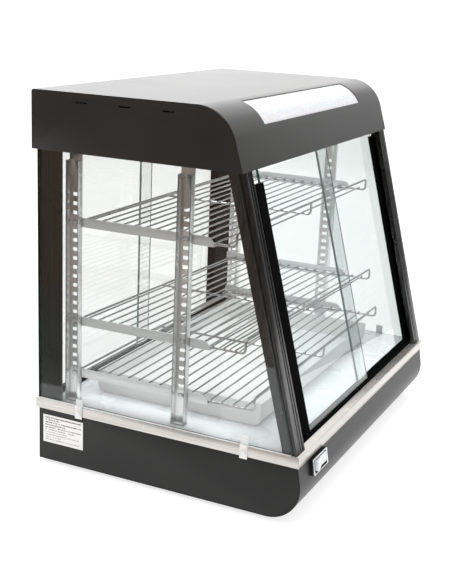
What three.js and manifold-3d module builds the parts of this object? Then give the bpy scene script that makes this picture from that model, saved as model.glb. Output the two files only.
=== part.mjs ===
// A countertop display case that keeps cooked food hot: a painted base with the heater, a glazed cabinet
// with wire racks and sliding doors at front and back, and a painted hood with a lit sign panel.
import * as THREE from "three";
import { mergeVertices } from "three/addons/utils/BufferGeometryUtils.js";
import Module from "manifold-3d";

const wasm = await Module();
wasm.setup();

// Driving dimensions in millimetres. x = 0 is the middle, y = 0 is the back of the base with the front
// at negative y, and z = 0 is the underside of the base. The last lines move the origin to the footprint.
const GAP = 0.3; // between pieces that touch
const SHEET = 1.2; // painted and stainless sheet

const BASE = { half: 325.7, top: 106.3, cornerY: -415, cornerR: 54, lean: 10 };
const FOOT = { x: 285, front: -420, back: -40, radius: 14, height: 6 };
const DECK = { half: 327, front: -464.8, back: 6, top: 108, rimBottom: 90, rimSheet: 1, mitre: 12 };

const HOOD = { half: 330, bottom: 520, top: 611.5, back: 8.4, flatFront: -277, radius: 65, lean: 17 };
const SIGN = { half: 217, from: 14, to: 61, overlap: 7, sheet: 2 }; // degrees round the hood's front curve
const LOUVER = { z: 597, length: 20, height: 2.4, centres: [-82.5, -157, -230.5] };

const CABINET = { floor: DECK.top + GAP, top: 532 }; // the posts, glass and tracks stand between these
const FRONT = { y: -461, angle: Math.atan(0.267) }; // the sloping front, at deck height
const GLASS = 4;
const SIDE_GLASS = { inner: 320, setback: 9.4, back: -1, top: 531 };
const POST = { inner: [294, 297], outer: 325, head: 9, depth: 25, web: 2.8, webOuter: 319.7, backDepth: 41.5 };
const POST_GROOVES = [{ x: 309, width: 2, depth: 1.2 }, { x: 301, width: 3.2, depth: 5 }];

const STRIP = { width: 26.5, thick: 7, bite: 8 }; // the black edge bar of each door, and how far glass enters
const DOOR_STOP = 316.5; // how far out from the middle a door can stand
const FRONT_DOOR = { width: 308, open: 50.5, groove: [14.5, 22], bottom: [6.3, 8.35], top: 435 };
const FRONT_STRIP = { bottom: [10.6, 12.65], top: [403.5, 418.5] };
const BACK_DOOR = { width: 320, open: [0, 18.5], groove: [-18, -8], bottom: 110.2, top: 525.5, stripTop: 505 };
const TRACK = { slot: 5.2, wall: 2.3, floor: 109.3, lip: 112.8, soffit: 517, roof: 3.5 };

const UPRIGHT = { web: 298, flange: 12.3, width: 23.2, sheet: 1.5, flangeTop: 505, centres: [-54, -251] };
const SLOT = { first: 155, pitch: 14.8, count: 21, width: 10, height: 6 };
const RAIL = { height: 15, ledge: 15.2, sheet: 1.5, front: -296.7, back: -40, nose: 12.3 };
const RACK = { side: 291, back: -49, firstBar: -64, wire: 2, bar: 1.5, pitch: 19.6, lift: 20.5 };
// The upright slots that each shelf hangs from, left and right, and where its rack ends at the front. The
// middle shelf hangs one slot lower on the right, so its rack slopes.
const SHELVES = {
  bottom: { slots: [0, 0], front: -373 },
  middle: { slots: [6, 5], front: -354 },
  top: { slots: [17, 17], front: -331.5 },
};
const TRAY = { half: 249, front: -367.5, back: -67, height: 38, corner: 14, sheet: 1.2 };

const SWITCH = { x: -250, z: 73.5, half: 29.8, high: 13.4, proud: 5.5, mouth: 25.3, mouthHigh: 10.4 };
const ROCKER = { half: 23.6, high: 7.6, pivot: 4, tilt: 7 };
const LABEL = { front: -86.3, back: -8.5, bottom: 31.6, top: 80.2, sheet: 0.4 };
const CLIP = { width: 13, centres: [-374.5, -78.5], low: 86.5, high: [124, 119], sheet: 1.2, screwZ: 97 };
const KNOB = { x: 150, z: 52, radius: 19, length: 15 };
const INLET = { x: -200, z: 48, half: 13.5, high: 9.5, depth: 18, plate: 25, plateHigh: 14 };

const radians = THREE.MathUtils.degToRad;

// Colours and finishes.
const FINISH = {
  black_paint: { color: "#3b3a39", roughness: 0.42, metalness: 0.25 },
  black_metal: { color: "#2b2a2a", roughness: 0.4, metalness: 0.5 },
  black_plastic: { color: "#161616", roughness: 0.4, metalness: 0 },
  rubber: { color: "#1c1c1c", roughness: 0.85, metalness: 0 },
  stainless: { color: "#d9d6d1", roughness: 0.3, metalness: 1 },
  galvanised: { color: "#b3b5b6", roughness: 0.42, metalness: 0.9 },
  chrome: { color: "#dfe1e2", roughness: 0.12, metalness: 1 },
  glass: { color: "#e6f2ef", roughness: 0.03, metalness: 0, transparent: true, opacity: 0.22 },
  opal: { color: "#f4f5f8", roughness: 0.35, metalness: 0 },
  white_plastic: { color: "#e9eaee", roughness: 0.35, metalness: 0 },
  label: { color: "#eceae6", roughness: 0.55, metalness: 0 },
};

const model = new THREE.Group();

function add(name, geometry, finish, parent = model) {
  geometry.computeVertexNormals();
  const mesh = new THREE.Mesh(geometry, new THREE.MeshStandardMaterial(FINISH[finish]));
  mesh.name = name;
  parent.add(mesh);
  return mesh;
}

// Solids: joining and cutting closed geometries.

function solidOf(geometry) {
  const bare = geometry.index ? geometry.toNonIndexed() : geometry.clone();
  bare.deleteAttribute("normal");
  bare.deleteAttribute("uv");
  const merged = mergeVertices(bare, 1e-4);
  return new wasm.Manifold(new wasm.Mesh({
    numProp: 3,
    vertProperties: merged.attributes.position.array,
    triVerts: new Uint32Array(merged.index.array),
  }));
}

function geometryOf(solid) {
  const mesh = solid.getMesh();
  const geometry = new THREE.BufferGeometry();
  geometry.setAttribute("position", new THREE.BufferAttribute(new Float32Array(mesh.vertProperties), 3));
  geometry.setIndex(new THREE.BufferAttribute(new Uint32Array(mesh.triVerts), 1));
  return geometry.toNonIndexed();
}

const join = (...parts) => geometryOf(parts.map(solidOf).reduce((sum, part) => sum.add(part)));
const cut = (body, ...tools) =>
  geometryOf(tools.reduce((rest, tool) => rest.subtract(solidOf(tool)), solidOf(body)));
const common = (a, b) => geometryOf(solidOf(a).intersect(solidOf(b)));

// A box between pairs of limits.
function box(x, y, z) {
  const shape = new THREE.BoxGeometry(x[1] - x[0], y[1] - y[0], z[1] - z[0]);
  return shape.translate((x[0] + x[1]) / 2, (y[0] + y[1]) / 2, (z[0] + z[1]) / 2);
}

// Limits at a distance from the middle, on the left (side -1) or on the right (side 1).
const onSide = (side, a, b) => (side > 0 ? [a, b] : [-b, -a]);
const middle = (half) => [-half, half];
const around = (centre, width) => [centre - width / 2, centre + width / 2];

// A rod between two points.
function rod(from, to, radius, sides) {
  const a = new THREE.Vector3(...from);
  const run = new THREE.Vector3(...to).sub(a);
  const shape = new THREE.CylinderGeometry(radius, radius, run.length(), sides);
  const turn = new THREE.Quaternion().setFromUnitVectors(new THREE.Vector3(0, 1, 0), run.clone().normalize());
  shape.applyQuaternion(turn);
  return shape.translate(...a.addScaledVector(run, 0.5).toArray());
}

const point = (x, y) => new THREE.Vector2(x, y);

// Points along a round stretch of an outline, with angles in degrees.
function arc(centre, radius, from, to, steps) {
  return Array.from({ length: steps + 1 }, (_, i) => {
    const angle = radians(from + ((to - from) * i) / steps);
    return point(centre.x + radius * Math.cos(angle), centre.y + radius * Math.sin(angle));
  });
}

// The same line moved to its right-hand side, with mitred corners.
function offset(line, distance) {
  return line.map((corner, i) => {
    const before = line[Math.max(i - 1, 0)].clone();
    const after = line[Math.min(i + 1, line.length - 1)].clone();
    const back = i ? corner.clone().sub(before).normalize() : after.clone().sub(corner).normalize();
    const ahead = i < line.length - 1 ? after.sub(corner).normalize() : back.clone();
    const along = back.add(ahead).normalize();
    const reach = distance / along.dot(ahead);
    return point(corner.x + along.y * reach, corner.y - along.x * reach);
  });
}

// Extrusions of an outline: drawn in y, z and run along x, or drawn in x, z and run along y.
function alongX(outline, x) {
  const basis = new THREE.Matrix4().set(0, 0, 1, x[0], 1, 0, 0, 0, 0, 1, 0, 0, 0, 0, 0, 1);
  const shape = new THREE.Shape(outline);
  return new THREE.ExtrudeGeometry(shape, { depth: x[1] - x[0], bevelEnabled: false }).applyMatrix4(basis);
}

function alongY(outline, y) {
  const basis = new THREE.Matrix4().set(1, 0, 0, 0, 0, 0, -1, y[1], 0, 1, 0, 0, 0, 0, 0, 1);
  const shape = new THREE.Shape(outline);
  return new THREE.ExtrudeGeometry(shape, { depth: y[1] - y[0], bevelEnabled: false }).applyMatrix4(basis);
}

const bentSheet = (line, sheet, x) => alongX([...line, ...offset(line, sheet).reverse()], x);

// The base: one bent sheet for the front and bottom, two sides and a back panel.

const baseFaceStart = point(
  BASE.cornerY - BASE.cornerR * Math.cos(radians(BASE.lean)),
  BASE.cornerR * (1 + Math.sin(radians(BASE.lean))),
);
const baseFaceY = (z) => baseFaceStart.x + (z - baseFaceStart.y) * Math.tan(radians(BASE.lean));

function baseLine() {
  const corner = arc(point(BASE.cornerY, BASE.cornerR), BASE.cornerR, 270, 180 - BASE.lean, 12);
  return [point(0, 0), ...corner, point(baseFaceY(BASE.top), BASE.top)];
}

function addBase() {
  const line = baseLine();
  const opening = switchFrame(box(middle(SWITCH.mouth + 2.2), [-5, 5], middle(SWITCH.mouthHigh + 2.2)));
  add("base_wrap", cut(bentSheet(line, SHEET, middle(BASE.half)), opening), "black_paint");

  const inside = offset(line, SHEET + GAP);
  const outline = [point(0, SHEET + GAP), ...inside.slice(1), point(0, BASE.top)];
  for (const [name, side] of [["left", -1], ["right", 1]])
    add(`base_side_${name}`, alongX(outline, onSide(side, BASE.half - SHEET, BASE.half)), "black_paint");

  const panel = box(middle(BASE.half - SHEET - GAP), [-SHEET, 0], [SHEET + GAP, BASE.top]);
  const shaftHole = rod([KNOB.x, -5, KNOB.z], [KNOB.x, 5, KNOB.z], 5, 16);
  const socketHole = inletBox(INLET.half + 2.3, INLET.high + 2.3, [-5, 5]);
  add("base_back", cut(panel, shaftHole, socketHole), "black_paint");
}

function addFeet() {
  for (const [name, x, y] of [
    ["front_left", -FOOT.x, FOOT.front],
    ["front_right", FOOT.x, FOOT.front],
    ["back_left", -FOOT.x, FOOT.back],
    ["back_right", FOOT.x, FOOT.back],
  ])
    add(`foot_${name}`, rod([x, y, -FOOT.height], [x, y, -GAP], FOOT.radius, 20), "rubber");
}

// The deck is a stainless pan turned upside down: its folded rim hides the top of the base.
function addDeck() {
  const y = [DECK.front, DECK.back];
  const pan = box(middle(DECK.half), y, [DECK.rimBottom, DECK.top]);
  const under = box(
    middle(DECK.half - DECK.rimSheet),
    [y[0] + DECK.rimSheet, y[1] - DECK.rimSheet],
    [DECK.rimBottom - 1, DECK.top - SHEET],
  );
  const seams = [-1, 1].flatMap((side) => y.map((edge) => {
    const turn = radians(edge < -100 ? 45 : -45) * -side;
    const slit = box([-0.4, 0.4], middle(DECK.mitre), [DECK.rimBottom - 1, DECK.top + 1]);
    return slit.rotateZ(turn).translate(side * DECK.half, edge, 0);
  }));
  add("deck_pan", cut(pan, under, ...seams), "stainless");
}

function addLabel() {
  const x = [-BASE.half - GAP - LABEL.sheet, -BASE.half - GAP];
  add("rating_label", box(x, [LABEL.front, LABEL.back], [LABEL.bottom, LABEL.top]), "label");
}

// The front switch sits square to the leaning face of the base.
function switchFrame(geometry) {
  return geometry.rotateX(radians(-BASE.lean)).translate(SWITCH.x, baseFaceY(SWITCH.z), SWITCH.z);
}

function addFrontSwitch() {
  const wall = 1.8;
  const bezel = box(middle(SWITCH.half), [-SWITCH.proud, -GAP], middle(SWITCH.high));
  const body = box(middle(SWITCH.mouth + wall), [-GAP - 0.1, 24], middle(SWITCH.mouthHigh + wall));
  const mouth = box(middle(SWITCH.mouth), [-SWITCH.proud - 1, 14], middle(SWITCH.mouthHigh));
  add("front_switch_housing", switchFrame(cut(join(bezel, body), mouth)), "chrome");

  const { half: end, high, pivot, tilt } = ROCKER;
  const outline = [
    point(-end, -8.3), point(0, -5.5), point(end, -8.3), point(end - 1, -1), point(10, 8), point(-10, 8),
    point(-end + 1, -1),
  ];
  const shape = new THREE.Shape(outline);
  const rocker = new THREE.ExtrudeGeometry(shape, { depth: 2 * high, bevelEnabled: false });
  rocker.translate(0, -pivot, -high).rotateZ(radians(tilt)).translate(0, pivot, 0);
  add("front_switch_rocker", switchFrame(rocker), "white_plastic");
}

// On the back: the thermostat with its knob, and the mains inlet. Under the deck: the heater.

function addThermostat() {
  const { x, z } = KNOB;
  const body = box(around(x, 36), [-34, -SHEET - GAP], around(z, 36));
  const shaft = rod([x, -10, z], [x, 10, z], 3, 12);
  add("thermostat_body", join(body, shaft), "black_plastic");

  const skirt = rod([x, GAP, z], [x, GAP + 2, z], KNOB.radius, 32);
  const grip = rod([x, GAP + 1, z], [x, KNOB.length, z], KNOB.radius - 4, 24);
  const pointer = box(around(x, 3), [GAP + 1, KNOB.length + 1], [z, z + KNOB.radius - 1]);
  const bore = rod([x, -1, z], [x, 11, z], 3.3, 12);
  add("thermostat_knob", cut(join(skirt, grip, pointer), bore), "black_plastic");
}

const inletBox = (half, high, y) =>
  box([INLET.x - half, INLET.x + half], y, [INLET.z - high, INLET.z + high]);

function addInlet() {
  const wall = 2;
  const body = inletBox(INLET.half + wall, INLET.high + wall, [-INLET.depth - wall, GAP + 0.1]);
  const plate = inletBox(INLET.plate, INLET.plateHigh, [GAP, GAP + 2]);
  const socket = inletBox(INLET.half, INLET.high, [-INLET.depth, GAP + 3]);
  const pins = [[-7, 0], [0, 3], [7, 0]].map(([dx, dz]) => {
    const z = around(INLET.z + dz, 5);
    return box(around(INLET.x + dx, 2), [-INLET.depth - 1, -5], z);
  });
  add("power_inlet", join(cut(join(body, plate), socket), ...pins), "black_plastic");
}

function addHeater() {
  const z = 94;
  const runs = [-180, -60, 60, 180];
  const [front, back] = [-350, -90];
  const path = new THREE.CurvePath();
  const at = (x, y) => new THREE.Vector3(x, y, z);
  runs.forEach((x, i) => {
    const [from, to] = i % 2 ? [front, back] : [back, front];
    path.add(new THREE.LineCurve3(at(x, from), at(x, to)));
    if (i === runs.length - 1) return;
    const bulge = to === front ? -70 : 70;
    const next = runs[i + 1];
    path.add(new THREE.CubicBezierCurve3(at(x, to), at(x, to + bulge), at(next, to + bulge), at(next, to)));
  });
  const section = new THREE.Shape(arc(point(0, 0), 4, 0, 315, 7));
  const tube = new THREE.ExtrudeGeometry(section, { steps: 72, bevelEnabled: false, extrudePath: path });
  add("heating_element", tube, "galvanised");
}

// Everything on the sloping front is drawn square to it: x across, y into the cabinet, z up the slope.

const front = new THREE.Group();
front.position.set(0, FRONT.y, DECK.top);
front.rotation.x = -FRONT.angle;
model.add(front);

// The height up the slope, at a depth behind it, that lies on a level.
const slopeAt = (level, depth) =>
  (level - DECK.top + depth * Math.sin(FRONT.angle)) / Math.cos(FRONT.angle);

// The y where a level meets the plane at a depth behind the sloping front.
const frontY = (level, depth) =>
  FRONT.y + (level - DECK.top) * Math.tan(FRONT.angle) + depth / Math.cos(FRONT.angle);

// The part of a piece on the slope that is between two levels.
function betweenLevels(geometry, low, high) {
  const slab = box(middle(400), [-200, 400], [low - DECK.top, high - DECK.top]);
  return common(geometry, slab.rotateX(FRONT.angle));
}

function addFrontPosts() {
  const run = [-20, 480];
  for (const [name, side] of [["left", -1], ["right", 1]]) {
    const head = box(onSide(side, POST.inner[0], POST.outer), [0, POST.head], run);
    const webX = onSide(side, POST.webOuter - POST.web, POST.webOuter);
    const web = box(webX, [POST.head - 1, POST.depth], run);
    const grooves = POST_GROOVES.map(({ x, width, depth }) =>
      box(onSide(side, x - width / 2, x + width / 2), [-1, depth], run));
    const sideGroove = box(onSide(side, POST.outer - 1.5, POST.outer + 1), [3.6, 5.8], run);
    const post = betweenLevels(cut(join(head, web), ...grooves, sideGroove), CABINET.floor, CABINET.top);
    add(`post_front_${name}`, post, "black_metal", front);
  }
}

function addFrontTracks() {
  const [near, far] = FRONT_DOOR.groove;
  const slots = [around(near, TRACK.slot), around(far, TRACK.slot)];
  const edge = [slots[0][0] - TRACK.wall, slots[1][1] + TRACK.wall];
  const x = middle(DOOR_STOP);
  const level = (height) => edge.map((depth) => point(depth, slopeAt(height, depth)));

  const [a, b] = level(CABINET.floor);
  const [d, c] = level(TRACK.lip);
  const floorCuts = slots.map(([from, to]) => alongX(
    [point(from, slopeAt(TRACK.floor, from)), point(to, slopeAt(TRACK.floor, to)), point(to, 30), point(from, 30)],
    middle(400),
  ));
  add("track_front_bottom", cut(alongX([a, b, c, d], x), ...floorCuts), "black_plastic", front);

  const [e, f] = level(TRACK.soffit);
  const [h, g] = level(CABINET.top);
  const roof = FRONT_DOOR.top + 3;
  const roofCuts = slots.map((slot) => box(middle(400), slot, [400, roof]));
  add("track_front_top", cut(alongX([e, f, g, h], x), ...roofCuts), "black_plastic", front);
}

// A sliding door: a pane, and the black bar that grips its outer edge. The box limits give the bar's place
// across, the pane's middle in depth, and the heights of pane and bar.
function doorPieces(side, outer, width, depth, pane, bar) {
  const glassOuter = outer - STRIP.width + STRIP.bite;
  const glassX = onSide(side, outer - width, glassOuter);
  const barX = onSide(side, outer - STRIP.width, outer);
  const slotX = onSide(side, outer - STRIP.width - 1, glassOuter + GAP);
  const glass = box(glassX, around(depth, GLASS), pane);
  const slot = box(slotX, around(depth, GLASS + 2 * GAP), [bar[0] - 1, bar[1] + 1]);
  return [glass, cut(box(barX, around(depth, STRIP.thick), bar), slot)];
}

function addFrontDoors() {
  ["left", "right"].forEach((name, i) => {
    const outer = i ? DOOR_STOP : DOOR_STOP - FRONT_DOOR.open;
    const [glass, strip] = doorPieces(
      i ? 1 : -1, outer, FRONT_DOOR.width, FRONT_DOOR.groove[i],
      [FRONT_DOOR.bottom[i], FRONT_DOOR.top], [FRONT_STRIP.bottom[i], FRONT_STRIP.top[i]],
    );
    add(`front_door_${name}_glass`, glass, "glass", front);
    add(`front_door_${name}_strip`, strip, "black_plastic", front);
  });
}

// The upright back: posts, tracks and doors. The left door runs in the inner groove, and the right one in
// the outer groove stands a little open.

function addBackPosts() {
  const z = [CABINET.floor, CABINET.top];
  for (const [name, side] of [["left", -1], ["right", 1]]) {
    const flange = box(onSide(side, POST.inner[1], POST.outer), [GAP - 1, 1.5], z);
    const web = box(onSide(side, POST.webOuter - POST.web, POST.webOuter), [-POST.backDepth, 0], z);
    add(`post_back_${name}`, join(flange, web), "black_metal");
  }
}

function addBackTracks() {
  const [inner, outer] = BACK_DOOR.groove;
  const y = [inner - TRACK.slot / 2 - TRACK.wall, outer + TRACK.slot / 2 + TRACK.wall];
  const slots = [outer, inner].map((groove) => around(groove, TRACK.slot));
  const x = middle(DOOR_STOP);
  const floorCuts = slots.map((slot) => box(middle(400), slot, [TRACK.floor, TRACK.lip + 1]));
  add("track_back_bottom", cut(box(x, y, [CABINET.floor, TRACK.lip]), ...floorCuts), "black_plastic");
  const roofCuts = slots.map((slot) => box(middle(400), slot, [TRACK.soffit - 1, CABINET.top - TRACK.roof]));
  add("track_back_top", cut(box(x, y, [TRACK.soffit, CABINET.top]), ...roofCuts), "black_plastic");
}

function addBackDoors() {
  const pane = [BACK_DOOR.bottom, BACK_DOOR.top];
  const bar = [TRACK.lip + 0.5, BACK_DOOR.stripTop];
  ["left", "right"].forEach((name, i) => {
    const outer = DOOR_STOP - BACK_DOOR.open[i];
    const depth = BACK_DOOR.groove[i];
    const [glass, strip] = doorPieces(i ? 1 : -1, outer, BACK_DOOR.width, depth, pane, bar);
    add(`back_door_${name}_glass`, glass, "glass");
    add(`back_door_${name}_strip`, strip, "black_plastic");
  });
}

// The fixed side panes and the steel clips that hold their lower edges to the deck's rim.

function addSideGlass() {
  const { setback, back, top, inner } = SIDE_GLASS;
  const outline = [
    point(frontY(CABINET.floor, setback), CABINET.floor), point(back, CABINET.floor), point(back, top),
    point(frontY(top, setback), top),
  ];
  for (const [name, side] of [["left", -1], ["right", 1]])
    add(`side_glass_${name}`, alongX(outline, onSide(side, inner, inner + GLASS)), "glass");
}

function addClips() {
  const glassFace = SIDE_GLASS.inner + GLASS + GAP;
  const rimFace = DECK.half + GAP;
  const { sheet, low, width } = CLIP;
  const step = CABINET.floor;
  for (const [name, side] of [["left", -1], ["right", 1]])
    CLIP.centres.forEach((y, i) => {
      const high = CLIP.high[i];
      const outline = [
        point(side * glassFace, high), point(side * glassFace, step), point(side * rimFace, step),
        point(side * rimFace, low), point(side * (rimFace + sheet), low),
        point(side * (rimFace + sheet), step + sheet), point(side * (glassFace + sheet), step + sheet),
        point(side * (glassFace + sheet), high),
      ];
      const head = rod([side * rimFace, y, CLIP.screwZ], [side * (rimFace + 3.2), y, CLIP.screwZ], 3.5, 12);
      add(`glass_clip_${name}_${i ? "back" : "front"}`, join(alongY(outline, around(y, width)), head), "stainless");
    });
}

// Shelving: slotted channels, rails that hook into them, and wire racks.

function addUprights() {
  const z = [CABINET.floor, UPRIGHT.flangeTop];
  const { web, flange, width, sheet } = UPRIGHT;
  const slotZ = (i) => SLOT.first + SLOT.pitch * i;
  for (const [name, side] of [["left", -1], ["right", 1]])
    UPRIGHT.centres.forEach((y, i) => {
      const channel = box(onSide(side, web, web + flange), around(y, width), z);
      const tongue = box(onSide(side, web, web + sheet), around(y, width), [z[1] - 1, CABINET.top]);
      const hollow = box(onSide(side, web + sheet, web + flange + 1), around(y, width - 2 * sheet),
        [z[0] + sheet, z[1] + 1]);
      const slots = Array.from({ length: SLOT.count }, (_, k) =>
        box(onSide(side, web - 1, web + sheet + 1), around(y, SLOT.width), around(slotZ(k), SLOT.height)));
      const upright = join(cut(channel, hollow, ...slots), tongue);
      add(`upright_${name}_${i ? "front" : "back"}`, upright, "galvanised");
    });
}

const railBottom = (slot) => SLOT.first + SLOT.pitch * slot - RAIL.height / 2;

function addRails() {
  const face = UPRIGHT.web - GAP;
  const { height, sheet, ledge, nose } = RAIL;
  for (const [level, shelf] of Object.entries(SHELVES))
    shelf.slots.forEach((slot, i) => {
      const side = i ? 1 : -1;
      const low = railBottom(slot);
      const rounded = arc(point(RAIL.front + nose, low + height - nose), nose, 180, 90, 5);
      const outline = [
        point(RAIL.front, low), ...rounded, point(RAIL.back, low + height), point(RAIL.back, low),
      ];
      const plate = alongX(outline, onSide(side, face - sheet, face));
      const foot = box(onSide(side, face - ledge, face - 0.5), [RAIL.front, RAIL.back], [low, low + sheet]);
      const hooks = UPRIGHT.centres.map((y) =>
        box(onSide(side, face - 0.5, face + 4), around(y, 7), around(low + height / 2, 4)));
      add(`shelf_rail_${level}_${i ? "right" : "left"}`, join(plate, foot, ...hooks), "galvanised");
    });
}

// A rack: bars across on three long wires, which are joined at the back and turn up at the front, where
// they carry a stop bar. It is drawn level at z = 0, then tilted and lifted onto its two rails.
function rackAt(front) {
  const { side, wire, bar, pitch, lift, back, firstBar } = RACK;
  const long = [-side, 0, side].flatMap((x) => [
    rod([x, back, 0], [x, front, 0], wire, 8),
    rod([x, front, 0], [x, front, lift], wire, 8),
    new THREE.SphereGeometry(wire, 8, 6).translate(x, front, 0),
  ]);
  const ends = [[back, 0], [front, lift]].map(([y, z]) => rod([-side, y, z], [side, y, z], wire, 8));
  const count = Math.floor((firstBar - front - 8) / pitch) + 1;
  const barZ = wire + bar - 0.5;
  const bars = Array.from({ length: count }, (_, k) => {
    const y = firstBar - k * pitch;
    return rod([-side - wire, y, barZ], [side + wire, y, barZ], bar, 4);
  });
  return join(...long, ...ends, ...bars);
}

function addRacks() {
  for (const [level, shelf] of Object.entries(SHELVES)) {
    const [left, right] = shelf.slots.map((slot) => railBottom(slot) + RAIL.sheet + GAP + RACK.wire);
    const tilt = Math.atan((left - right) / (2 * RACK.side));
    const rack = rackAt(shelf.front).rotateY(tilt).translate(0, 0, (left + right) / 2);
    add(`wire_rack_${level}`, rack, "chrome");
  }
}

function addTray() {
  const { half, corner, height, sheet } = TRAY;
  const low = CABINET.floor;
  const line = [
    point(TRAY.back, low + height),
    ...arc(point(TRAY.back - corner, low + corner), corner, 0, -90, 5),
    ...arc(point(TRAY.front + corner, low + corner), corner, -90, -180, 5),
    point(TRAY.front, low + height),
  ];
  const inner = offset(line, sheet);
  const mouth = [point(inner[0].x, low + height + 1), ...inner, point(inner.at(-1).x, low + height + 1)];
  const hollow = alongX(mouth, middle(half - sheet));
  add("crumb_tray", cut(alongX(line, middle(half)), hollow), "stainless");
}

// The hood: one bent sheet, two sides with louvers, a ceiling, a lit sign panel and its lamp.

const hoodCentre = point(HOOD.flatFront, HOOD.top - HOOD.radius);

function hoodLine() {
  const curve = arc(hoodCentre, HOOD.radius, 180 - HOOD.lean, 90, 16);
  const run = (curve[0].y - HOOD.bottom) * Math.tan(radians(HOOD.lean));
  const backEdge = arc(point(HOOD.back - 4, HOOD.top - 4), 4, 90, 0, 3);
  return [point(curve[0].x - run, HOOD.bottom), ...curve, ...backEdge, point(HOOD.back, HOOD.bottom)];
}

function ringSector(inner, outer, from, to) {
  const angles = [90 + to, 90 + from];
  return [
    ...arc(hoodCentre, outer, angles[0], angles[1], 10),
    ...arc(hoodCentre, inner, angles[1], angles[0], 10),
  ];
}

function addHood() {
  const line = hoodLine();
  const window = alongX(
    ringSector(HOOD.radius - 6, HOOD.radius + 6, SIGN.from, SIGN.to), middle(SIGN.half));
  add("hood_wrap", cut(bentSheet(line, SHEET, middle(HOOD.half)), window), "black_paint");

  const outline = offset(line, SHEET + GAP);
  for (const [name, side] of [["left", -1], ["right", 1]]) {
    const x = onSide(side, HOOD.half - SHEET, HOOD.half);
    const louvers = LOUVER.centres.map((y) =>
      box([x[0] - 1, x[1] + 1], around(y, LOUVER.length), around(LOUVER.z, LOUVER.height)));
    add(`hood_side_${name}`, cut(alongX(outline, x), ...louvers), "black_paint");
  }

  const radius = HOOD.radius - SHEET - GAP;
  const { from, to, overlap, sheet, half } = SIGN;
  const sign = alongX(ringSector(radius - sheet, radius, from - overlap, to + overlap), middle(half + 8));
  add("sign_panel", sign, "opal");
}

const LAMP = { y: -262, z: 576, radius: 8, half: 285 };

function addCeilingAndLamp() {
  const z = [CABINET.top + GAP, CABINET.top + GAP + SHEET];
  const plate = box(middle(HOOD.half - SHEET - 0.4), [-347, 6.8], z);
  const window = box(middle(LAMP.half), around(LAMP.y, 60), [z[0] - 1, z[1] + 1]);
  add("ceiling_panel", cut(plate, window), "stainless");

  const batten = box(middle(LAMP.half + 15), [-238, -214], [575, 600]);
  const sockets = [-1, 1].map((side) =>
    box(onSide(side, LAMP.half + GAP, LAMP.half + 10), [-275, -215], [LAMP.z - 16, LAMP.z + 16]));
  add("lamp_fitting", join(batten, ...sockets), "white_plastic");
  const tube = rod([-LAMP.half, LAMP.y, LAMP.z], [LAMP.half, LAMP.y, LAMP.z], LAMP.radius, 20);
  add("lamp_tube", tube, "opal");
}

addBase();
addFeet();
addDeck();
addLabel();
addFrontSwitch();
addThermostat();
addInlet();
addHeater();
addFrontPosts();
addFrontTracks();
addFrontDoors();
addBackPosts();
addBackTracks();
addBackDoors();
addSideGlass();
addClips();
addUprights();
addRails();
addRacks();
addTray();
addHood();
addCeilingAndLamp();

// The origin goes to the middle of the footprint, at the underside of the feet.
model.updateMatrixWorld(true);
const bounds = new THREE.Box3();
model.traverse((piece) => piece.isMesh && bounds.expandByObject(piece, true));
const centre = bounds.getCenter(new THREE.Vector3());
model.position.set(-centre.x, -centre.y, -bounds.min.z);

const group = new THREE.Group();
group.add(model);

export default group;
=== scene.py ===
"""Looks for a countertop hot food display case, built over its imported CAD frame."""
import math

import bmesh
import bpy
from mathutils import Matrix, Vector


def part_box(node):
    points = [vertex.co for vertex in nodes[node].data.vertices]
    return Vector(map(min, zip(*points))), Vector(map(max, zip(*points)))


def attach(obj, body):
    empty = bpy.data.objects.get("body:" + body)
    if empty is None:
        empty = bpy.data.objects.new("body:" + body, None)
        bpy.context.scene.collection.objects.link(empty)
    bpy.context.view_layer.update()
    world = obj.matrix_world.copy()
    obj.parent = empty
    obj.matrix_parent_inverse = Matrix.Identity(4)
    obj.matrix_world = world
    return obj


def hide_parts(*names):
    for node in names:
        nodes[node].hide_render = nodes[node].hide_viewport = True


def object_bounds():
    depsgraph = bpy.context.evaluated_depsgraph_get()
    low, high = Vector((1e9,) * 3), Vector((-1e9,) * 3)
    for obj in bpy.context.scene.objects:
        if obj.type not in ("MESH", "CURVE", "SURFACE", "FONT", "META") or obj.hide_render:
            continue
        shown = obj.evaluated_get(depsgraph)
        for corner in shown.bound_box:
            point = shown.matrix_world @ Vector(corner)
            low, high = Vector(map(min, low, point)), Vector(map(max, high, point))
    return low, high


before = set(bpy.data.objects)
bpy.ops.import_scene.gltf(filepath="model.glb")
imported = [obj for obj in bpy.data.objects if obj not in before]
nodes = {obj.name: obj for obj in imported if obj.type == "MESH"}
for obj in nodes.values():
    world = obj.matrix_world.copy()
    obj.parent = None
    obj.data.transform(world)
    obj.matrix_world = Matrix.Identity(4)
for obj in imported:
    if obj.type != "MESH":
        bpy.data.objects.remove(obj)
cad_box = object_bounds()

MM = 0.001
SAME_PLACE = 1e-6
SIDES = ("left", "right")
ENDS = ("front", "back")
LEVELS = ("bottom", "middle", "top")

# The layout's own zero is the back of the base at its underside. The deck pan ends 6 mm behind it,
# and its top is 108 mm above it.
DECK_BACK, DECK_TOP = 6, 108
deck_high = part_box("deck_pan")[1]
ZERO = Vector((0, deck_high.y - DECK_BACK * MM, deck_high.z - DECK_TOP * MM))


def at(x, y, z):
    """A point of the layout, given in millimetres from its zero."""
    return ZERO + Vector((x, y, z)) * MM


# ---------------------------------------------------------------- materials


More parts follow.
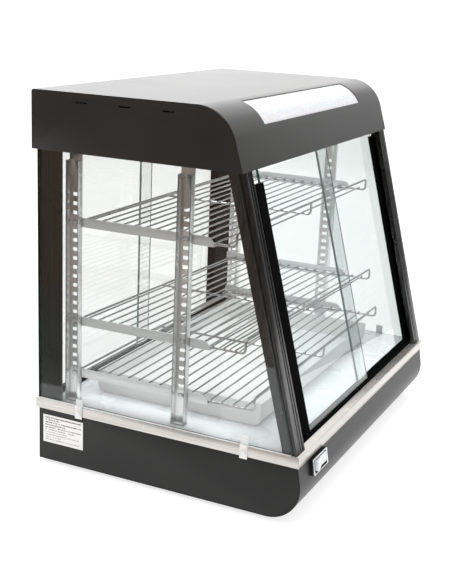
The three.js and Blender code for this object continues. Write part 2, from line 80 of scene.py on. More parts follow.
class Nodes:
    """A material's node tree, with one method for each kind of node that the finishes share."""

    def __init__(self, name):
        self.material = bpy.data.materials.new(name)
        self.material.use_nodes = True
        self.tree = self.material.node_tree
        self.tree.nodes.clear()
        self.output = self.tree.nodes.new("ShaderNodeOutputMaterial")
        self.place = self.tree.nodes.new("ShaderNodeTexCoord").outputs["Object"]

    def node(self, kind, settings=None, **inputs):
        made = self.tree.nodes.new(kind)
        for key, value in (settings or {}).items():
            setattr(made, key, value)
        for key, value in inputs.items():
            self.put(made.inputs[key.replace("_", " ")], value)
        return made

    def put(self, socket, value):
        if isinstance(value, bpy.types.NodeSocket):
            self.tree.links.new(value, socket)
        else:
            socket.default_value = value

    def stretched(self, scale):
        return self.node("ShaderNodeMapping", Vector=self.place, Scale=scale).outputs["Vector"]

    def noise(self, scale, detail=2.0, stretch=None):
        place = self.stretched(stretch) if stretch else self.place
        made = self.node("ShaderNodeTexNoise", Vector=place, Scale=scale, Detail=detail)
        return made.outputs["Fac"]

    def spread(self, value, low, high, low_in=0.3, high_in=0.7):
        """value, whose useful part lies between low_in and high_in, moved to between low and high."""
        made = self.node("ShaderNodeMapRange", Value=value)
        limits = {"From Min": low_in, "From Max": high_in, "To Min": low, "To Max": high}
        for key, limit in limits.items():
            made.inputs[key].default_value = limit
        return made.outputs["Result"]

    def maths(self, operation, first, second=0.0):
        made = self.node("ShaderNodeMath", {"operation": operation})
        self.put(made.inputs[0], first)
        self.put(made.inputs[1], second)
        return made.outputs[0]

    def blend(self, factor, first, second):
        made = self.node("ShaderNodeMix", {"data_type": "RGBA"})
        self.put(made.inputs[0], factor)
        self.put(made.inputs[6], first)
        self.put(made.inputs[7], second)
        return made.outputs[2]

    def part(self, vector, axis):
        """One coordinate of a vector."""
        return self.node("ShaderNodeSeparateXYZ", Vector=vector).outputs[axis]

    def facing(self, axis):
        """How far the surface faces along one of the piece's own axes, from -1 to 1."""
        return self.part(self.node("ShaderNodeTexCoord").outputs["Normal"], axis)

    def bump(self, height, strength, distance):
        made = self.node("ShaderNodeBump", Height=height, Strength=strength, Distance=distance)
        return made.outputs["Normal"]

    def shader(self, **inputs):
        made = self.node("ShaderNodeBsdfPrincipled")
        for key, value in inputs.items():
            self.put(made.inputs[key.replace("_", " ")], value)
        return made

    def choose(self, factor, first, second):
        """The first shader where factor is 0, and the second where it is 1."""
        mixed = self.node("ShaderNodeMixShader", Fac=factor)
        self.tree.links.new(first.outputs[0], mixed.inputs[1])
        self.tree.links.new(second.outputs[0], mixed.inputs[2])
        return mixed

    def finish(self, shader):
        self.tree.links.new(shader.outputs[0], self.output.inputs["Surface"])
        return self.material


def grey(value, tint=(1, 1, 1)):
    return (value * tint[0], value * tint[1], value * tint[2], 1)


def powder_coat(name, dark, light, rough, peel, ior=1.42):
    """Satin powder coat: a fine orange peel, with cloudy changes of colour and gloss."""
    n = Nodes(name)
    cloud = n.noise(9, 4)
    peel_noise = n.noise(1300, 2)
    colour = n.blend(n.spread(cloud, 0, 1), dark, light)
    roughness = n.spread(n.noise(4, 2), rough - 0.01, rough + 0.01)
    normal = n.bump(peel_noise, peel, 0.0004)
    return n.finish(n.shader(Base_Color=colour, Roughness=roughness, Normal=normal, IOR=ior))


def brushed(name, dark, light, rough, grain, strength=0.12, metallic=1.0):
    """Sheet metal with a grain: streaks along one axis in colour, gloss and relief."""
    n = Nodes(name)
    streak = n.noise(1.0, 5, grain)
    smudge = n.noise(14, 3)
    colour = n.blend(n.spread(streak, 0, 1), dark, light)
    roughness = n.spread(smudge, rough - 0.05, rough + 0.07)
    normal = n.bump(streak, strength, 0.0003)
    return n.finish(n.shader(Base_Color=colour, Roughness=roughness, Normal=normal, Metallic=metallic))


def channel_steel(name):
    """Rolled channel, with painted shade that darkens its inner corners."""
    n = Nodes(name)
    streak = n.noise(1.0, 5, (400, 400, 5))
    colour = n.blend(n.spread(streak, 0, 1), grey(0.84), grey(0.96))
    # Painted shade: ambient occlusion blends the colour towards near black in the channel's inner
    # corners.
    painted_corner_shade = n.node("ShaderNodeAmbientOcclusion", {"samples": 6}, Distance=0.016).outputs["AO"]
    shaded = n.blend(n.spread(painted_corner_shade, 0, 1, 0.1, 0.8), grey(0.14), colour)
    roughness = n.spread(n.noise(14, 3), 0.22, 0.32)
    normal = n.bump(streak, 0.05, 0.0003)
    return n.finish(n.shader(Base_Color=shaded, Roughness=roughness, Normal=normal, Metallic=0.85))


# The middle of the switch's bezel and half the size of its mouth, in millimetres.
SWITCH_CENTRE, SWITCH_MOUTH = (-250, 0, 73.5), (25.4, 10.5)


def bezel_chrome(name):
    """Bright plating on the bezel's front. Inside its mouth and round its sides it is painted near
    black and unplated, as painted shade and dark reflection.
    """
    n = Nodes(name)
    plated_front = n.spread(n.facing("Y"), 1, 0, -0.75, -0.45)
    place = n.node("ShaderNodeSeparateXYZ", Vector=n.place)
    centre = at(*SWITCH_CENTRE)

    def past(axis, middle, reach):
        offset = n.maths("ABSOLUTE", n.maths("SUBTRACT", place.outputs[axis], middle))
        return n.maths("GREATER_THAN", offset, reach * MM)

    past_sides, past_ends = past("X", centre.x, SWITCH_MOUTH[0]), past("Z", centre.z, SWITCH_MOUTH[1])
    plated_front = n.maths("MULTIPLY", plated_front, n.maths("MAXIMUM", past_sides, past_ends))
    cloud = n.blend(n.spread(n.noise(120, 3), 0, 1), grey(0.66), grey(0.86))
    # Near black, unplated, wherever the front isn't plated: painted shade and dark reflection in the
    # mouth and round the sides.
    colour = n.blend(plated_front, grey(0.012), cloud)
    roughness = n.spread(n.noise(90, 2), 0.06, 0.14)
    return n.finish(n.shader(Base_Color=colour, Roughness=roughness, Metallic=plated_front))


def plated(name, colour, rough):
    """Bright plating over drawn wire: mirror metal with faint draw lines and dull spots."""
    n = Nodes(name)
    spots = n.noise(220, 3)
    shade = n.blend(n.spread(spots, 0, 1, 0.35, 0.75), grey(colour), grey(colour * 0.86))
    roughness = n.spread(n.noise(90, 2), rough * 0.7, rough * 1.5)
    normal = n.bump(n.noise(700, 2), 0.06, 0.0002)
    return n.finish(n.shader(Base_Color=shade, Roughness=roughness, Normal=normal, Metallic=1.0))


def moulded(name, colour, rough, grain=900, strength=0.15, tint=(1, 1, 1), sheen=0.5):
    """Moulded plastic or rubber: a fine spark-eroded grain and slightly uneven gloss."""
    n = Nodes(name)
    cloud = n.spread(n.noise(25, 3), 0, 1)
    shade = n.blend(cloud, grey(colour * 0.85, tint), grey(colour * 1.12, tint))
    roughness = n.spread(n.noise(70, 3), rough - 0.05, rough + 0.06)
    normal = n.bump(n.noise(grain, 2), strength, 0.0002)
    return n.finish(n.shader(Base_Color=shade, Roughness=roughness, Normal=normal,
                             Specular_IOR_Level=sheen))


def clear_glass(name, tint):
    """Float glass that lets lamps through, with the faint waviness of its rolled surface."""
    n = Nodes(name)
    wave = n.bump(n.noise(7, 1), 0.02, 0.0004)
    glass = n.shader(Base_Color=tint, Roughness=0.0, Transmission_Weight=1.0, IOR=1.45, Normal=wave)
    clear = n.node("ShaderNodeBsdfTransparent", Color=tint)
    is_shadow = n.node("ShaderNodeLightPath").outputs["Is Shadow Ray"]
    return n.finish(n.choose(is_shadow, glass, clear))


def glass_edge(name):
    """The ground edge of a pane: deep green, with faint grinding marks."""
    n = Nodes(name)
    marks = n.noise(1.0, 4, (40, 900, 900))
    colour = n.blend(n.spread(marks, 0, 1), (0.03, 0.085, 0.07, 1), (0.05, 0.13, 0.105, 1))
    roughness = n.spread(marks, 0.12, 0.3)
    return n.finish(n.shader(Base_Color=colour, Roughness=roughness, Specular_IOR_Level=0.08,
                             Normal=n.bump(marks, 0.1, 0.0002)))


def opal_acrylic(name, glow):
    """Opal acrylic, evenly white, with light scattering inside it."""
    n = Nodes(name)
    haze = n.noise(30, 3)
    colour = n.blend(n.spread(haze, 0, 1), (0.61, 0.62, 0.635, 1), (0.63, 0.635, 0.65, 1))
    roughness = n.spread(n.noise(120, 2), 0.22, 0.3)
    return n.finish(n.shader(Base_Color=colour, Roughness=roughness, Subsurface_Weight=0.2,
                             Subsurface_Scale=0.004, Emission_Color=(0.95, 0.96, 1.0, 1),
                             Emission_Strength=glow, Normal=n.bump(haze, 0.01, 0.0003)))


# The pitch of the label's rows, its margin and its shortest row, in millimetres, and the share of a
# row's height that its letters take.
LABEL_ROW, LABEL_MARGIN, LABEL_SHORTEST, LABEL_LETTERS = 4.3, 3.6, 30, 0.42


def rating_foil(name):
    """A pale foil label with ragged rows of meaningless dashes."""
    n = Nodes(name)
    place = n.node("ShaderNodeSeparateXYZ", Vector=n.stretched((1000, 1000, 1000)))
    y, z = place.outputs["Y"], place.outputs["Z"]
    low, high = (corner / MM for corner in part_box("rating_label"))
    from_left = n.maths("SUBTRACT", high.y, y)
    from_top = n.maths("SUBTRACT", high.z - LABEL_MARGIN, z)
    rows_down = n.maths("DIVIDE", from_top, LABEL_ROW)
    row = n.maths("FLOOR", rows_down)
    in_row = n.maths("LESS_THAN", n.maths("FRACT", rows_down), LABEL_LETTERS)

    def noise_at(along, down, detail):
        spot = n.node("ShaderNodeCombineXYZ", X=along, Y=down).outputs["Vector"]
        flat = {"noise_dimensions": "2D"}
        return n.node("ShaderNodeTexNoise", flat, Scale=1.0, Detail=detail, Vector=spot).outputs["Fac"]

    letters = noise_at(n.maths("MULTIPLY", y, 0.9), n.maths("MULTIPLY", row, 7.3), 1.0)
    ragged = noise_at(n.maths("MULTIPLY", row, 3.7), 0.5, 0.0)
    length = n.spread(ragged, LABEL_SHORTEST, high.y - low.y - LABEL_MARGIN)
    ink = n.maths("GREATER_THAN", letters, 0.43)
    for limit in (
        in_row,
        n.maths("LESS_THAN", from_left, length),
        n.maths("GREATER_THAN", from_left, LABEL_MARGIN),
        n.maths("GREATER_THAN", from_top, 0.0),
        n.maths("GREATER_THAN", z, low.z + LABEL_MARGIN),
    ):
        ink = n.maths("MULTIPLY", ink, limit)
    paler_down = n.spread(from_top, 0, 1, 12, 26)
    print_colour = n.blend(paler_down, (0.05, 0.05, 0.055, 1), (0.34, 0.34, 0.34, 1))
    colour = n.blend(ink, (0.80, 0.79, 0.78, 1), print_colour)
    roughness = n.spread(n.noise(50, 2), 0.38, 0.5)
    normal = n.bump(n.noise(300), 0.05, 0.0002)
    return n.finish(n.shader(Base_Color=colour, Roughness=roughness, Normal=normal))


def deck_steel(name):
    """Stainless deck: its top inside the cabinet painted a cool bright near-white and less metallic, as
    painted light, and a warmer folded rim with a grain along it.
    """
    n = Nodes(name)
    inside = n.maths("GREATER_THAN", n.part(n.place, "Y"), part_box("track_front_bottom")[0].y)
    # Painted light: faces turned up inside the tracks get a brighter, cooler, less metallic colour than
    # the same steel's rim.
    painted_light_top = n.maths("MULTIPLY", n.spread(n.facing("Z"), 0, 1, 0.4, 0.8), inside)
    streak = n.noise(1.0, 5, (4, 5, 900))
    rim = n.blend(n.spread(streak, 0, 1), (0.52, 0.49, 0.46, 1), (0.70, 0.67, 0.64, 1))
    sweep = n.noise(1.0, 4, (4, 380, 380))
    top = n.blend(n.spread(sweep, 0, 1), (0.90, 0.925, 0.94, 1), (0.95, 0.97, 0.98, 1))
    roughness = n.spread(n.noise(14, 3), 0.24, 0.32)
    grain = n.bump(streak, 0.05, 0.0003)
    return n.finish(n.shader(Base_Color=n.blend(painted_light_top, rim, top), Roughness=roughness, Normal=grain,
                             Metallic=n.spread(painted_light_top, 0.8, 0.1, 0, 1)))


def paper(name, shade, tint=(1, 1, 1), glow=0.0, mirrored_only=False):
    """Matt paper. A glow stands for the light from below in a shadowless white studio. A sheet that
    is mirrored_only shows in what shines, and doesn't show through glass."""
    n = Nodes(name)
    colour = n.blend(n.spread(n.noise(3, 2), 0, 1), grey(shade * 0.99, tint), grey(shade * 1.01, tint))
    matt = n.shader(Base_Color=colour, Roughness=0.9, Specular_IOR_Level=0.1,
                    Emission_Color=(1, 1, 1, 1), Emission_Strength=glow)
    if not mirrored_only:
        return n.finish(matt)
    bounces = n.node("ShaderNodeLightPath").outputs["Glossy Depth"]
    clear = n.node("ShaderNodeBsdfTransparent")
    return n.finish(n.choose(n.maths("GREATER_THAN", bounces, 0.5), clear, matt))


MATERIALS = {
    "paint": powder_coat(
        "paint_black", (0.013, 0.0118, 0.011, 1), (0.017, 0.0155, 0.0145, 1), 0.33, 0.06),
    "base_paint": powder_coat(
        "paint_base", (0.012, 0.0118, 0.0114, 1), (0.016, 0.0156, 0.015, 1), 0.33, 0.06, 1.34),
    "anodised": brushed("anodised_black", grey(0.035), grey(0.07), 0.3, (260, 260, 3), 0.05),
    "black_plastic": moulded("plastic_black", 0.005, 0.5, sheen=0.0),
    "fittings": moulded("plastic_fittings", 0.008, 0.34),
    "rubber": moulded("rubber_black", 0.02, 0.75, 500, 0.4),
    "stainless": brushed(
        "steel_brushed", (0.70, 0.68, 0.65, 1), (0.83, 0.81, 0.78, 1), 0.24, (6, 700, 700)),
    "deck": deck_steel("steel_deck"),
    "rolled": brushed("steel_rolled", grey(0.68), grey(0.80), 0.45, (300, 6, 300), 0.05, 0.25),
    "upright": channel_steel("steel_upright"),
    "chrome": plated("chrome_wire", 0.48, 0.10),
    "bright_chrome": bezel_chrome("chrome_bezel"),
    "glass": clear_glass("glass_float", (0.765, 0.775, 0.77, 1)),
    "door_glass": clear_glass("glass_door", (0.81, 0.86, 0.852, 1)),
    "far_glass": clear_glass("glass_far", (0.95, 0.955, 0.95, 1)),
    "edge": glass_edge("glass_edge"),
    "opal": opal_acrylic("acrylic_opal", 0.0),
    "lamp": opal_acrylic("lamp_opal", 1.5),
    "white_plastic": moulded("plastic_white", 0.78, 0.26, 700, 0.05, (0.98, 0.99, 1.03)),
    "label": rating_foil("label_foil"),
    "tray": brushed(
        "steel_tray", (0.76, 0.757, 0.752, 1), (0.84, 0.837, 0.832, 1), 0.42, (6, 300, 300), 0.03, 0.1),
    "element": brushed(
        "element_sheath", (0.12, 0.10, 0.09, 1), (0.22, 0.19, 0.17, 1), 0.45, (200, 30, 200)),
}

# ---------------------------------------------------------------- shaping


def finish_mesh(obj, materials, bevel=0.0, segments=2, smooth_angle=32):
    """Sets a piece's materials and edges: a bevel in millimetres, and smooth shading up to an angle."""
    mesh = obj.data
    mesh.materials.clear()
    for key in materials:
        mesh.materials.append(MATERIALS[key])
    mesh.shade_smooth()
    mesh.set_sharp_from_angle(angle=math.radians(smooth_angle))
    if bevel:
        made = obj.modifiers.new("edges", "BEVEL")
        made.width = bevel * MM
        made.segments = segments
        made.limit_method = "ANGLE"
        made.angle_limit = math.radians(smooth_angle)
        made.harden_normals = True


def carry(node, material, bevel=0.0, segments=2, smooth_angle=32):
    """A CAD node that stays, with a better material and soft edges."""
    obj = nodes[node]
    weld = obj.modifiers.new("weld", "WELD")
    weld.merge_threshold = SAME_PLACE
    finish_mesh(obj, [material], bevel, segments, smooth_angle)


def new_object(name, bm):
    """A mesh object in the scene, made from a bmesh, which it uses up."""
    mesh = bpy.data.meshes.new(name)
    bm.to_mesh(mesh)
    bm.free()
    obj = bpy.data.objects.new(name, mesh)
    bpy.context.scene.collection.objects.link(obj)
    return obj


def arc(centre, radius, start, end, steps):
    """Points (y, z) in millimetres round a centre, with angles in degrees."""
    return [
        (centre[0] + radius * math.cos(math.radians(start + (end - start) * i / steps)),
         centre[1] + radius * math.sin(math.radians(start + (end - start) * i / steps)))
        for i in range(steps + 1)
    ]


def sheet_strip(line, across, hole=None):
    """A sheet along a line of (y, z) points, with seams at the given x. hole = (x0, x1, first, last)
    leaves out the faces between two seams and two points of the line."""
    bm = bmesh.new()
    rows = [[bm.verts.new(at(x, y, z)) for x in across] for y, z in line]
    for i in range(len(line) - 1):
        for j in range(len(across) - 1):
            if hole and hole[0] <= across[j] < hole[1] and hole[2] <= i < hole[3]:
                continue
            bm.faces.new([rows[i][j], rows[i][j + 1], rows[i + 1][j + 1], rows[i + 1][j]])
    return bm


def thicken(obj, thickness):
    """Gives a sheet its thickness, inside its outer face and before its bevel."""
    made = obj.modifiers.new("sheet", "SOLIDIFY")
    made.thickness = thickness * MM
    made.offset = -1
    made.use_even_offset = True
    obj.modifiers.move(len(obj.modifiers) - 1, 0)


def facing_out(bm, centre):
    """Turns an open sheet's faces away from a point."""
    bmesh.ops.recalc_face_normals(bm, faces=bm.faces)
    bm.faces.ensure_lookup_table()
    face = bm.faces[0]
    if face.normal.dot(face.calc_center_median() - centre) < 0:
        bmesh.ops.reverse_faces(bm, faces=bm.faces)


def open_sheet(name, bm, centre, body, material, thickness, bevel, replaces):
    """A bent sheet drawn by its outer face only, round a point inside it."""
    facing_out(bm, centre)
    obj = new_object(name, bm)
    finish_mesh(obj, [material], bevel, smooth_angle=25)
    thicken(obj, thickness)
    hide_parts(*replaces)
    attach(obj, body)


# ---------------------------------------------------------------- camera, light and floor

# The camera's place in the layout, its yaw, pitch and roll in degrees, and its lens in millimetres.
CAMERA_PLACE, CAMERA_TURNS, CAMERA_LENS = (-1698.0, -975.1, 773.1), (25.084, 15.872, 2.520), 66.09


def add_camera():
    """The camera stands to the front left, a little above the hood, and rolls slightly."""
    yaw, pitch, roll = (math.radians(turn) for turn in CAMERA_TURNS)
    ahead = Vector((math.cos(yaw) * math.cos(pitch), math.sin(yaw) * math.cos(pitch), -math.sin(pitch)))
    level = ahead.cross(Vector((0, 0, 1))).normalized()
    up = level.cross(ahead)
    right = math.cos(roll) * level + math.sin(roll) * up
    top = math.cos(roll) * up - math.sin(roll) * level
    data = bpy.data.cameras.new("camera")
    data.lens = CAMERA_LENS
    data.sensor_width = 36
    obj = bpy.data.objects.new("camera", data)
    turn = Matrix((right, top, -ahead)).transposed().to_4x4()
    obj.matrix_world = Matrix.Translation(at(*CAMERA_PLACE)) @ turn
    bpy.context.scene.collection.objects.link(obj)
    bpy.context.scene.camera = obj


def add_light(name, place, target, size, power, colour=(1, 1, 1), spread=180):
    """A soft lamp of a size in metres and a power in watts, seen by neither camera nor glass."""
    data = bpy.data.lights.new(name, "AREA")
    data.shape = "RECTANGLE"
    data.size, data.size_y = size
    data.energy = power
    data.color = colour
    data.spread = math.radians(spread)
    obj = bpy.data.objects.new(name, data)
    obj.location = place
    obj.rotation_euler = (target - place).to_track_quat("-Z", "Y").to_euler()
    obj.visible_camera = False
    obj.visible_transmission = False
    bpy.context.scene.collection.objects.link(obj)


def add_card(name, place, target, size, shade, tint):
    """A matt card out of the picture, which only shows in what shines."""
    bm = bmesh.new()
    bmesh.ops.create_grid(bm, x_segments=1, y_segments=1, size=0.5)
    bmesh.ops.scale(bm, vec=(size[0], size[1], 1), verts=bm.verts)
    obj = new_object(name, bm)
    obj.data.materials.append(paper(name + "_paper", shade, tint, mirrored_only=True))
    obj.location = place
    obj.rotation_euler = (target - place).to_track_quat("Z", "Y").to_euler()
    obj.visible_camera = obj.visible_diffuse = obj.visible_shadow = False


# Each has a name, a place and what it faces in metres, a size, a shade and its tint.
CARDS = (
    ("left_card", (-0.95, 0.9, 0.55), (0, 0.9, 0.55), (2.5, 1.1), 0.27, (1, 0.75, 0.60)),
    ("left_low_card", (-0.6, 1.08, 0.11), (0, 1.08, 0.11), (2.1, 0.2), 0.26, (1, 0.98, 0.95)),
    ("room_behind_camera", (-2.6, -1.7, 0.9), (0, 0, 0.5), (3.2, 2.6), 0.05, (1, 0.97, 0.93)),
    ("right_front_card", (0.70, -1.30, 0.5), (-0.2, -0.4, 0.5), (1.2, 1.5), 0.06, (1, 1, 1)),
    ("right_low_card", (1.45, -0.55, 0.25), (0.55, 0.35, 0.25), (0.95, 0.7), 0.36, (1, 1, 1)),
)


FLOOR_RADIUS, FLOOR_GAP = 14, 0.0005


def add_room():
    """A white room, brightest from above and behind."""
    world = bpy.data.worlds.new("studio")
    world.use_nodes = True
    background = world.node_tree.nodes["Background"]
    background.inputs["Color"].default_value = (1, 1, 1, 1)
    background.inputs["Strength"].default_value = 1.1
    bpy.context.scene.world = world
    bpy.context.scene.view_settings.view_transform = "Standard"
    middle = (cad_box[0] + cad_box[1]) / 2
    add_light("overhead", middle + Vector((0.2, 0.1, 2.4)), middle, (2.6, 2.2), 30)
    beside = middle + Vector((2.6, 1.3, 1.05))
    add_light("far_side", beside, middle + Vector((0, 0, 0.3)), (3.0, 1.6), 20)


def add_fills():
    """Small soft lamps inside the cabinet, which lighten its racks, deck, tray and rails."""
    under_hood, below = at(0, -190, 528), Vector((0, 0, -1))
    add_light("cabinet_fill", under_hood, under_hood + below, (0.5, 0.26), 1.8, (0.97, 0.985, 1), 95)
    tray_side = at(-316, -215, 135)
    add_light("tray_fill", tray_side, at(0, -215, 175), (0.42, 0.04), 0.036, (0.98, 0.99, 1))
    add_light("front_fill", at(0, -392, 128), at(0, -200, 150), (0.5, 0.03), 0.016)
    add_light("rail_fill", at(-318, -200, 265), at(0, -200, 265), (0.42, 0.30), 0.10)


def add_floor():
    bm = bmesh.new()
    bmesh.ops.create_circle(bm, cap_ends=True, segments=96, radius=FLOOR_RADIUS)
    floor = new_object("floor", bm)
    floor.data.materials.append(paper("floor_paper", 0.45, glow=0.72))
    floor.location.z = cad_box[0].z - FLOOR_GAP


def add_studio():
    add_room()
    add_fills()
    for name, place, target, size, shade, tint in CARDS:
        add_card(name, Vector(place), Vector(target), size, shade, tint)
    add_floor()


# ---------------------------------------------------------------- base and hood

# Millimetres, and degrees for a lean. SIGN_FROM, SIGN_TO and SIGN_LAP_TURN are degrees round the
# hood's bend, counted from its top. The sign laps its opening by SIGN_LAP at each side.
SHEET, SHEET_EDGE = 1.2, 0.25
BASE_CORNER, BASE_RADIUS, BASE_LEAN = (-415, 54), 54, 10
BASE_TOP, BASE_HALF = 106.3, 325.7
SWITCH_HOLE_X, SWITCH_HOLE_TOP = (-278, -222), 86.1
HOOD_FRONT, HOOD_RADIUS, HOOD_LEAN = -277, 65, 17
HOOD_BOTTOM, HOOD_TOP, HOOD_BACK, HOOD_HALF, HOOD_BACK_RADIUS = 520, 611.5, 8.4, 330, 4
HOOD_CENTRE = (HOOD_FRONT, HOOD_TOP - HOOD_RADIUS)
SIGN_HALF, SIGN_FROM, SIGN_TO = 217, 14, 61
SIGN_SHEET, SIGN_GAP, SIGN_LAP, SIGN_LAP_TURN = 2, 0.3, 8, 7


def add_base_wrap():
    """The base's bottom, front bend and leaning front, with the switch's opening."""
    corner = arc(BASE_CORNER, BASE_RADIUS, 270, 180 - BASE_LEAN, steps=40)
    face_y, face_z = corner[-1]
    slope = math.tan(math.radians(BASE_LEAN))
    line = [(0, 0)] + corner + [(face_y + (z - face_z) * slope, z) for z in (SWITCH_HOLE_TOP, BASE_TOP)]
    # The opening starts a step below the end of the bend.
    first = len(corner) - 1
    across = [-BASE_HALF, *SWITCH_HOLE_X, BASE_HALF]
    bm = sheet_strip(line, across, (*SWITCH_HOLE_X, first, first + 2))
    inside = at(0, -230, 60)
    open_sheet("base_sheet", bm, inside, "case", "base_paint", SHEET, SHEET_EDGE, ["base_wrap"])


def add_hood_wrap():
    """The hood's leaning front, its big bend with the sign's opening, its top and its back."""
    # One step a degree, so that the opening's ends fall on points of the bend.
    steps = 90 - HOOD_LEAN
    curve = arc(HOOD_CENTRE, HOOD_RADIUS, 180 - HOOD_LEAN, 90, steps)
    run = (curve[0][1] - HOOD_BOTTOM) * math.tan(math.radians(HOOD_LEAN))
    back_centre = (HOOD_BACK - HOOD_BACK_RADIUS, HOOD_TOP - HOOD_BACK_RADIUS)
    back = arc(back_centre, HOOD_BACK_RADIUS, 90, 0, steps=10)
    line = [(curve[0][0] - run, HOOD_BOTTOM)] + curve + back + [(HOOD_BACK, HOOD_BOTTOM)]
    first, last = 1 + steps - SIGN_TO, 1 + steps - SIGN_FROM
    across = [-HOOD_HALF, -SIGN_HALF, SIGN_HALF, HOOD_HALF]
    bm = sheet_strip(line, across, (-SIGN_HALF, SIGN_HALF, first, last))
    inside = at(0, -150, 560)
    open_sheet("hood_sheet", bm, inside, "case", "paint", SHEET, SHEET_EDGE, ["hood_wrap"])


def add_sign():
    """The bent opal panel behind the hood's opening, which it laps on all sides."""
    radius = HOOD_RADIUS - SHEET - SIGN_GAP
    low_end, high_end = 90 + SIGN_TO + SIGN_LAP_TURN, 90 + SIGN_FROM - SIGN_LAP_TURN
    line = arc(HOOD_CENTRE, radius, low_end, high_end, steps=60)
    half = SIGN_HALF + SIGN_LAP
    bm = sheet_strip(line, [-half, half])
    open_sheet("sign_sheet", bm, at(0, *HOOD_CENTRE), "case", "opal", SIGN_SHEET, 0.2, ["sign_panel"])


# ---------------------------------------------------------------- glass

# A pane's face is one of its two broad ones if it is over this share of the largest.
BROAD_SHARE = 0.5


def glass_pane(name, node, body, material):
    """A pane with a green ground edge: its broad faces are clear, and the narrow ones are edge."""
    bm = bmesh.new()
    bm.from_mesh(nodes[node].data)
    bmesh.ops.remove_doubles(bm, verts=bm.verts, dist=SAME_PLACE)
    bmesh.ops.dissolve_limit(bm, angle_limit=math.radians(1), verts=bm.verts, edges=bm.edges)
    bmesh.ops.recalc_face_normals(bm, faces=bm.faces)
    pane = new_object(name, bm)
    finish_mesh(pane, [material, "edge"], bevel=0.35, segments=1, smooth_angle=30)
    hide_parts(node)
    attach(pane, body)
    largest = max(face.area for face in pane.data.polygons)
    for face in pane.data.polygons:
        face.material_index = 0 if face.area > largest * BROAD_SHARE else 1


def add_glass():
    for side, side_material in zip(SIDES, ("glass", "far_glass")):
        glass_pane(f"side_pane_{side}", f"side_glass_{side}", "case", side_material)
        for end, material in zip(ENDS, ("door_glass", "far_glass")):
            door = f"{end}_door_{side}"
            glass_pane(f"{end}_pane_{side}", f"{door}_glass", door, material)


# ---------------------------------------------------------------- racks and tray


def wire_curve(name, runs, body, material, replaces):
    """Round wires as one curve. runs is a list of (points, radius in millimetres, closed)."""
    data = bpy.data.curves.new(name, "CURVE")
    data.dimensions = "3D"
    data.bevel_depth = MM
    data.bevel_resolution = 3
    data.use_fill_caps = True
    for points, radius, closed in runs:
        spline = data.splines.new("POLY")
        spline.points.add(len(points) - 1)
        spline.use_cyclic_u = closed
        for target, point in zip(spline.points, points):
            target.co = (*point, 1)
            target.radius = radius
    obj = bpy.data.objects.new(name, data)
    bpy.context.scene.collection.objects.link(obj)
    data.materials.append(MATERIALS[material])
    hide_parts(*replaces)
    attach(obj, body)


# Millimetres. RACK_WIRE and RACK_BAR are radii, and a bar sinks into the wires by RACK_WELD.
RACK_SIDE, RACK_BACK, RACK_LIFT = 291, -49, 20.5
RACK_WIRE, RACK_BAR, RACK_WELD = 2, 1.5, 0.5
RACK_FIRST_BAR, RACK_PITCH, RACK_LAST_GAP, RACK_BEND = -64, 19.6, 8, 6
RAIL_SHEET, TOUCH = 1.5, 0.3


def rounded(corners, radius, steps=6):
    """A closed line through corners, each rounded with a circular bend."""
    line = []
    for i, corner in enumerate(corners):
        back = (corners[i - 1] - corner).normalized() * radius
        ahead = (corners[(i + 1) % len(corners)] - corner).normalized() * radius
        for k in range(steps + 1):
            angle = math.pi / 2 * k / steps
            line.append(corner + back * (1 - math.sin(angle)) + ahead * (1 - math.cos(angle)))
    return line


def add_racks():
    """A frame of thick wire that turns up at the front, a middle wire, and bars across them."""
    for level in LEVELS:
        heights = [(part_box(f"shelf_rail_{level}_{side}")[0].z - ZERO.z) / MM for side in SIDES]
        left, right = (height + RAIL_SHEET + TOUCH + RACK_WIRE for height in heights)
        front = (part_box(f"wire_rack_{level}")[0].y - ZERO.y) / MM + RACK_WIRE
        tilt = Matrix.Rotation(math.atan2(left - right, 2 * RACK_SIDE), 3, "Y")
        lift = Vector((0, 0, (left + right) / 2))

        def placed(points):
            return [at(*(tilt @ Vector(point) + lift)) for point in points]

        ends = [(RACK_BACK, 0), (front, 0), (front, RACK_LIFT)]
        frame_line = [Vector((-RACK_SIDE, y, z)) for y, z in ends]
        frame_line += [Vector((RACK_SIDE, y, z)) for y, z in reversed(ends)]
        bend = arc((front + RACK_BEND, RACK_BEND), RACK_BEND, 270, 180, steps=8)
        centre_line = [(0, y, z) for y, z in [(RACK_BACK, 0)] + bend + [(front, RACK_LIFT)]]
        outline = rounded(frame_line, RACK_BEND)
        runs = [(placed(outline), RACK_WIRE, True), (placed(centre_line), RACK_WIRE, False)]
        reach, height = RACK_SIDE + RACK_WIRE, RACK_WIRE + RACK_BAR - RACK_WELD
        y = RACK_FIRST_BAR
        while y >= front + RACK_LAST_GAP:
            runs.append((placed([(-reach, y, height), (reach, y, height)]), RACK_BAR, False))
            y -= RACK_PITCH
        wire_curve(f"rack_{level}", runs, f"wire_rack_{level}", "chrome", [f"wire_rack_{level}"])


TRAY_CORNER = 14


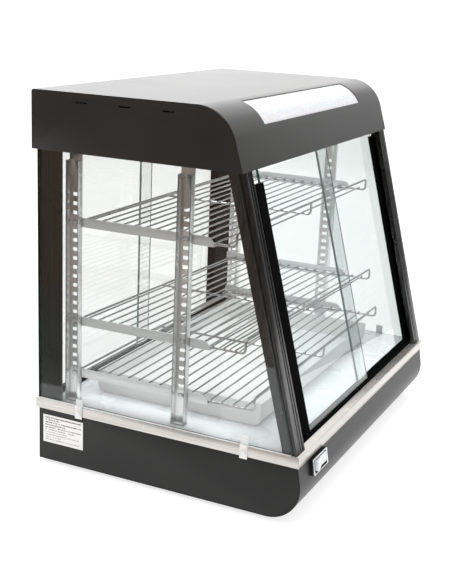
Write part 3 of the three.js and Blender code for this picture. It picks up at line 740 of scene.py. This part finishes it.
def add_tray():
    """A pan with rounded corners at its front and back, and flat sides."""
    low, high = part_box("crumb_tray")
    low, high = (low - ZERO) / MM, (high - ZERO) / MM
    corner, half = TRAY_CORNER, high.x
    back = arc((high.y - corner, low.z + corner), corner, 0, -90, steps=14)
    front = arc((low.y + corner, low.z + corner), corner, -90, -180, steps=14)
    line = [(high.y, high.z)] + back + front + [(low.y, high.z)]
    across = [-half, half]
    bm = sheet_strip(line, across)
    bm.verts.ensure_lookup_table()
    for j in range(len(across)):
        bm.faces.new([bm.verts[len(across) * i + j] for i in range(len(line))])
    open_sheet("tray_pan", bm, at(0, -218, 200), "crumb_tray", "tray", SHEET, 0.3, ["crumb_tray"])


# ---------------------------------------------------------------- carried CAD nodes


def carry_all():
    for side in SIDES:
        carry(f"base_side_{side}", "base_paint", 0.3)
        carry(f"hood_side_{side}", "paint", 0.3)
        carry(f"post_front_{side}", "anodised", 0.35)
        carry(f"post_back_{side}", "anodised", 0.35)
        for end in ENDS:
            carry(f"{end}_door_{side}_strip", "black_plastic", 0.6)
            carry(f"glass_clip_{side}_{end}", "rolled", 0.25)
            carry(f"upright_{side}_{end}", "upright", 0.25)
            carry(f"foot_{end}_{side}", "rubber", 1.0, 3)
        for level in LEVELS:
            carry(f"shelf_rail_{level}_{side}", "rolled", 0.3)
    for end in ENDS:
        for level in ("bottom", "top"):
            carry(f"track_{end}_{level}", "black_plastic", 0.3)
    carry("base_back", "base_paint", 0.25)
    carry("deck_pan", "deck", 0.6)
    carry("rating_label", "label", 0.1, 1)
    carry("front_switch_housing", "bright_chrome", 0.9, 3)
    carry("front_switch_rocker", "white_plastic", 0.8, 3)
    carry("thermostat_body", "fittings", 0.8)
    carry("thermostat_knob", "fittings", 0.8, 3)
    carry("power_inlet", "fittings", 0.6)
    carry("heating_element", "element", 0, smooth_angle=60)
    carry("ceiling_panel", "stainless", 0.3)
    carry("lamp_fitting", "white_plastic", 0.8)
    carry("lamp_tube", "lamp", 1.5)


add_camera()
add_studio()
add_base_wrap()
add_hood_wrap()
add_sign()
add_glass()
add_racks()
add_tray()
carry_all()
